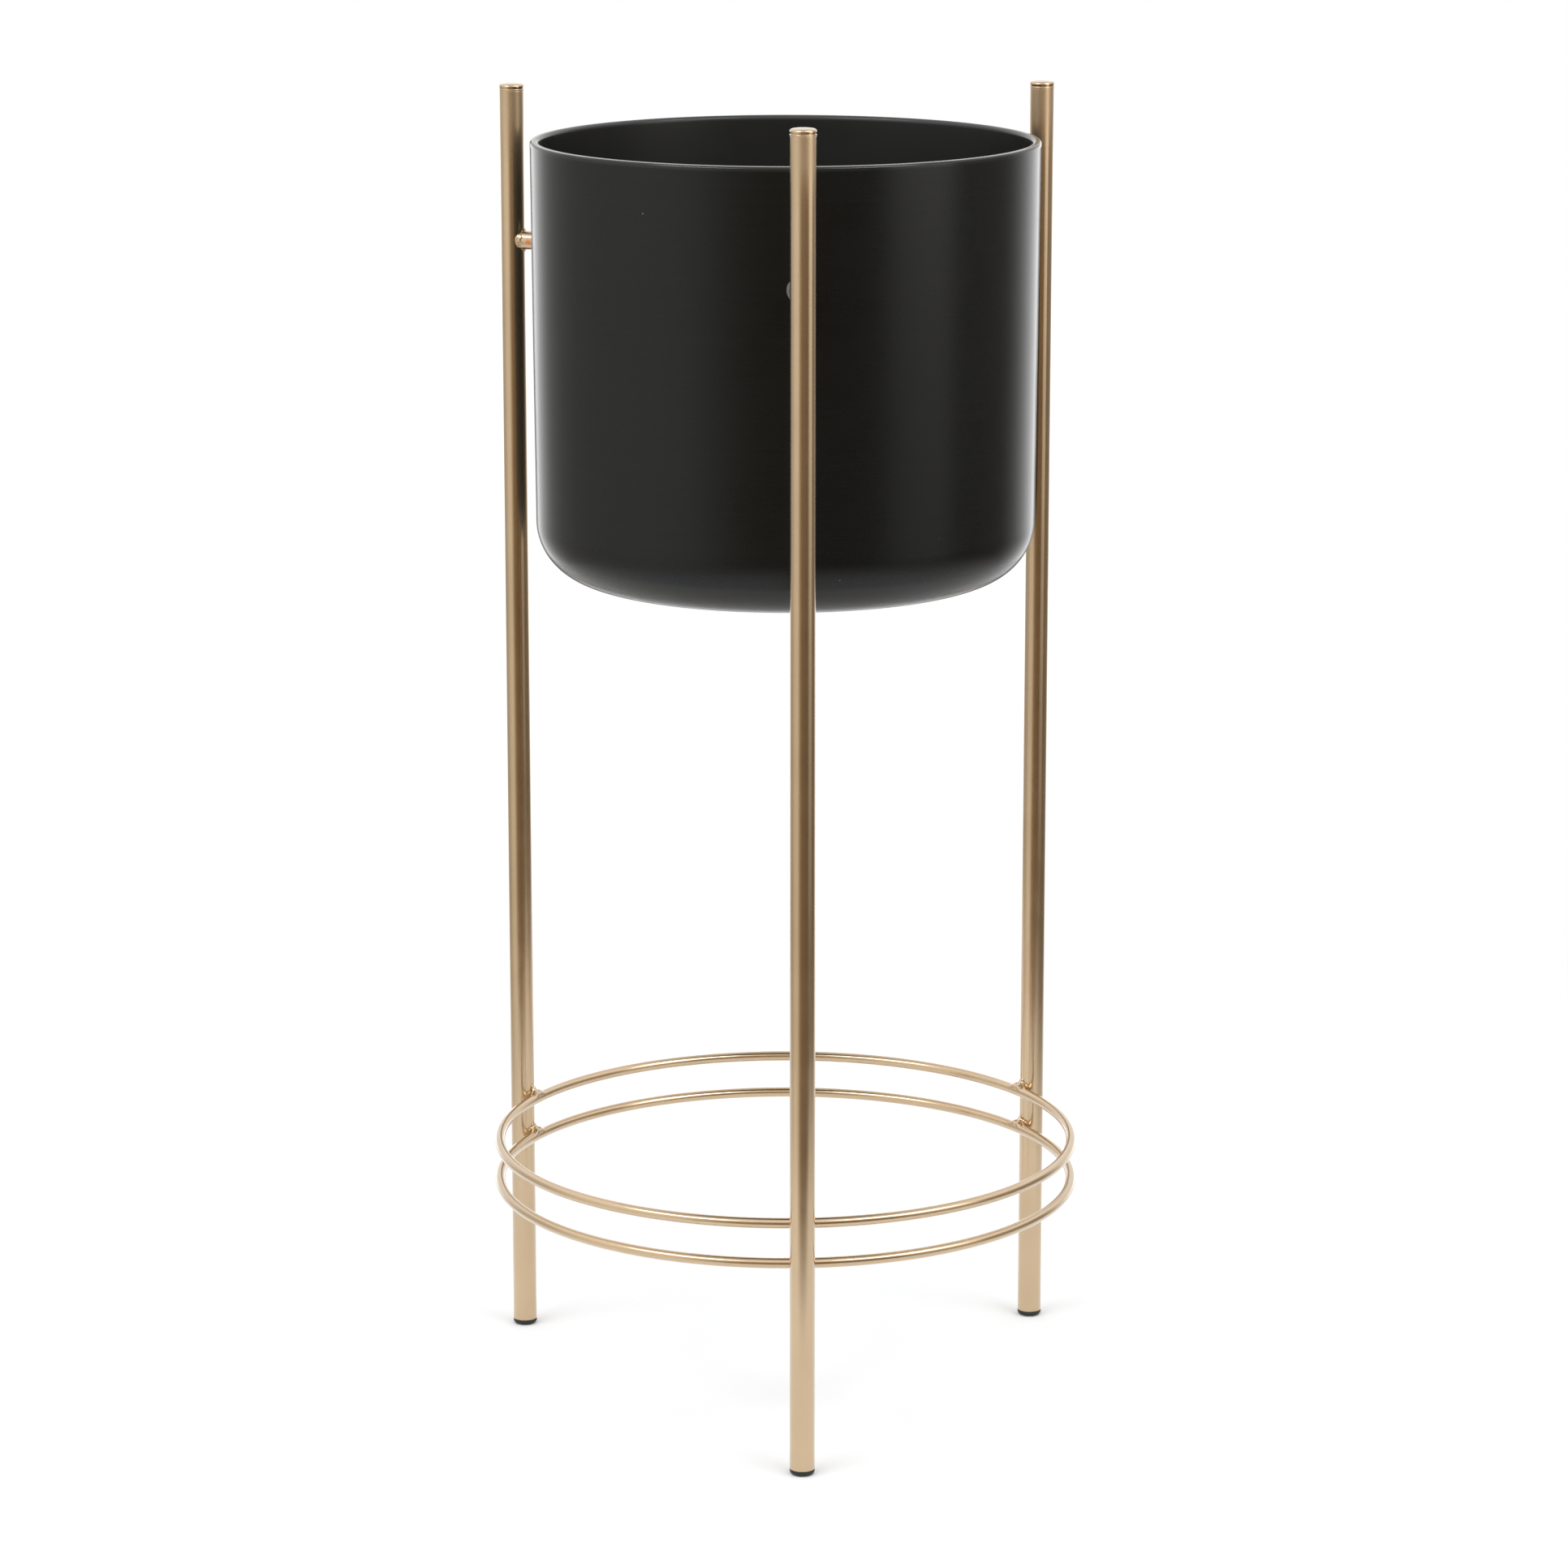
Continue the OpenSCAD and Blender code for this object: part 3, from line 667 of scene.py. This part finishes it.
high = w.ramp(turn, [
    (deg(-180), (1.80, 1.80, 1.80)), (deg(-158), (1.75, 1.75, 1.75)), (deg(-151), (1.40, 1.40, 1.40)), (deg(-143), (1.05, 1.05, 1.04)), (deg(-136), (0.76, 0.75, 0.73)), (deg(-124), (0.64, 0.63, 0.60)), (deg(-108), (0.68, 0.66, 0.63)),
    (deg(-92), (0.86, 0.84, 0.81)), (deg(-70), (1.04, 1.03, 1.01)), (deg(-50), (1.06, 1.05, 1.02)), (deg(-42), (1.02, 1.00, 0.95)), (deg(-32), (0.76, 0.71, 0.62)), (deg(-22), (0.47, 0.40, 0.31)), (deg(-10), (0.345, 0.262, 0.17)), (deg(8), (0.31, 0.230, 0.142)), (deg(26), (0.285, 0.205, 0.125)),
    (deg(42), (0.27, 0.215, 0.16)), (deg(60), (0.28, 0.235, 0.19)), (deg(84), (0.34, 0.30, 0.26)), (deg(94), (0.42, 0.38, 0.34)), (deg(103), (0.37, 0.34, 0.31)),
    (deg(118), (0.34, 0.31, 0.28)), (deg(129), (0.66, 0.65, 0.63)), (deg(136), (0.98, 0.98, 0.97)), (deg(146), (1.40, 1.40, 1.40)), (deg(156), (1.75, 1.75, 1.75)),
])
mid = w.ramp(turn, [
    (deg(-180), (1.75, 1.75, 1.75)), (deg(-160), (1.65, 1.65, 1.65)), (deg(-153), (1.30, 1.30, 1.30)), (deg(-144), (0.95, 0.95, 0.94)), (deg(-136), (0.62, 0.61, 0.58)), (deg(-124), (0.50, 0.48, 0.44)), (deg(-108), (0.52, 0.50, 0.46)),
    (deg(-92), (0.66, 0.64, 0.60)), (deg(-72), (0.86, 0.84, 0.80)), (deg(-50), (0.90, 0.87, 0.82)), (deg(-42), (0.86, 0.82, 0.74)), (deg(-32), (0.56, 0.50, 0.40)), (deg(-22), (0.30, 0.225, 0.14)), (deg(-10), (0.185, 0.118, 0.058)), (deg(8), (0.145, 0.086, 0.036)), (deg(24), (0.118, 0.066, 0.026)),
    (deg(42), (0.10, 0.072, 0.045)), (deg(60), (0.12, 0.092, 0.062)), (deg(84), (0.17, 0.140, 0.108)), (deg(94), (0.20, 0.172, 0.140)), (deg(104), (0.20, 0.175, 0.148)),
    (deg(118), (0.20, 0.175, 0.15)), (deg(129), (0.52, 0.51, 0.49)), (deg(137), (0.92, 0.92, 0.91)), (deg(147), (1.36, 1.36, 1.36)), (deg(157), (1.68, 1.68, 1.68)),
])
low = w.ramp(turn, [
    (deg(-180), (1.68, 1.68, 1.68)), (deg(-160), (1.45, 1.45, 1.45)), (deg(-150), (1.05, 1.05, 1.05)), (deg(-138), (0.62, 0.60, 0.57)), (deg(-124), (0.46, 0.43, 0.39)), (deg(-108), (0.48, 0.45, 0.41)),
    (deg(-92), (0.60, 0.57, 0.52)), (deg(-74), (0.76, 0.73, 0.67)), (deg(-50), (0.78, 0.74, 0.67)), (deg(-42), (0.72, 0.67, 0.58)), (deg(-32), (0.46, 0.40, 0.31)), (deg(-22), (0.28, 0.212, 0.135)), (deg(-10), (0.20, 0.132, 0.070)), (deg(8), (0.17, 0.106, 0.052)), (deg(26), (0.145, 0.086, 0.040)),
    (deg(44), (0.125, 0.09, 0.056)), (deg(60), (0.14, 0.108, 0.073)), (deg(84), (0.155, 0.126, 0.095)), (deg(94), (0.155, 0.130, 0.102)), (deg(106), (0.16, 0.138, 0.112)),
    (deg(120), (0.18, 0.155, 0.13)), (deg(134), (0.62, 0.61, 0.59)), (deg(148), (1.15, 1.15, 1.15)), (deg(158), (1.50, 1.50, 1.50)),
])
deep = w.ramp(w.span(elev, -52.0, -16.0), [(0.0, (1.05, 1.05, 1.05)), (0.35, (0.86, 0.84, 0.81)), (0.7, (0.55, 0.51, 0.46)), (1.0, (0.30, 0.25, 0.20))])
low = w.mix(w.span(elev, -20.0, -30.0, smooth=True), low, w.mix(1.0, low, deep, "LIGHTEN"))
sides = w.mix(w.span(elev, -9.0, -6.0, smooth=True), w.mix(w.span(elev, -13.5, -10.5, smooth=True), low, mid), high)
# behind, above the horizon, the sweep is a little dimmer, so that the cap tops keep their tone
dim = w.math("MULTIPLY", w.span(elev, 0.5, 3.5, smooth=True), w.span(w.math("ABSOLUTE", w.math("SUBTRACT", turn, 0.5)), 0.33, 0.40, smooth=True))
sides = w.mix(dim, sides, (0.98, 0.97, 0.95))
# overhead: angle in the fore-and-aft plane, 0 at the front horizon, 90 straight up, 180 at the back
roll = w.math("DIVIDE", w.math("ARCTAN2", dz, w.math("MULTIPLY", dy, -1.0)), math.pi)
over = w.ramp(roll, [
    (20 / 180, 0.62), (30 / 180, 1.0), (46 / 180, 1.25), (68 / 180, 1.20), (76 / 180, 0.95), (84 / 180, 0.58), (100 / 180, 0.58), (112 / 180, 0.80), (134 / 180, 0.95), (160 / 180, 1.30),
])
wing = w.span(w.math("ABSOLUTE", dx), 0.30, 0.55, smooth=True)
over = w.mix(wing, over, (1.25, 1.25, 1.25))
top = w.mix(w.span(elev, 16.0, 32.0, smooth=True), sides, over)
# two softboxes up in front, one on each side of the viewer
reach = w.math("ABSOLUTE", w.math("ADD", w.math("MULTIPLY", phi, 180 / math.pi), 3.0))
box = w.math("MULTIPLY", w.span(elev, 38.5, 41.5, smooth=True), w.span(elev, 49.5, 46.5, smooth=True))
box = w.math("MULTIPLY", box, w.math("MULTIPLY", w.span(reach, 20.0, 30.0, smooth=True), w.span(reach, 78.0, 68.0, smooth=True)))
top = w.mix(box, top, (8.2, 8.7, 9.6))
env = w.n("ShaderNodeBackground", inputs={"Color": top, "Strength": 1.0})
seen = w.n("ShaderNodeBackground", inputs={"Color": (1, 1, 1, 1), "Strength": 1.0})
pick = w.n("ShaderNodeMixShader", inputs={0: w.n("ShaderNodeLightPath").outputs["Is Camera Ray"], 1: env.outputs[0], 2: seen.outputs[0]})
w.t.links.new(pick.outputs[0], out.inputs[0])

# ------------------------------------------------------------------ camera
az, el, dist, tx, tz, lens, shift_y = math.radians(3.0), math.radians(12.331), 2.6723, -0.00079, 0.35399, 117.696, -0.04
fwd = Vector((math.sin(az) * math.cos(el), math.cos(az) * math.cos(el), -math.sin(el)))
target = Vector((tx * math.cos(az), AXIS_Y * MM - tx * math.sin(az), tz))
cam = bpy.data.cameras.new("camera")
cam.sensor_width = 36.0
cam.sensor_fit = "HORIZONTAL"
cam.lens = lens
cam.shift_y = shift_y
cam.clip_start, cam.clip_end = 0.05, 60.0
cam_ob = bpy.data.objects.new("camera", cam)
bpy.context.scene.collection.objects.link(cam_ob)
cam_ob.location = target - fwd * dist
cam_ob.rotation_mode = "QUATERNION"
cam_ob.rotation_quaternion = fwd.to_track_quat("-Z", "Y")
bpy.context.scene.camera = cam_ob

scene = bpy.context.scene
scene.view_settings.view_transform = "Standard"
scene.view_settings.look = "None"
scene.view_settings.exposure = 0.0
scene.view_settings.gamma = 1.0
scene.cycles.use_denoising = True
scene.cycles.sample_clamp_indirect = 6.0
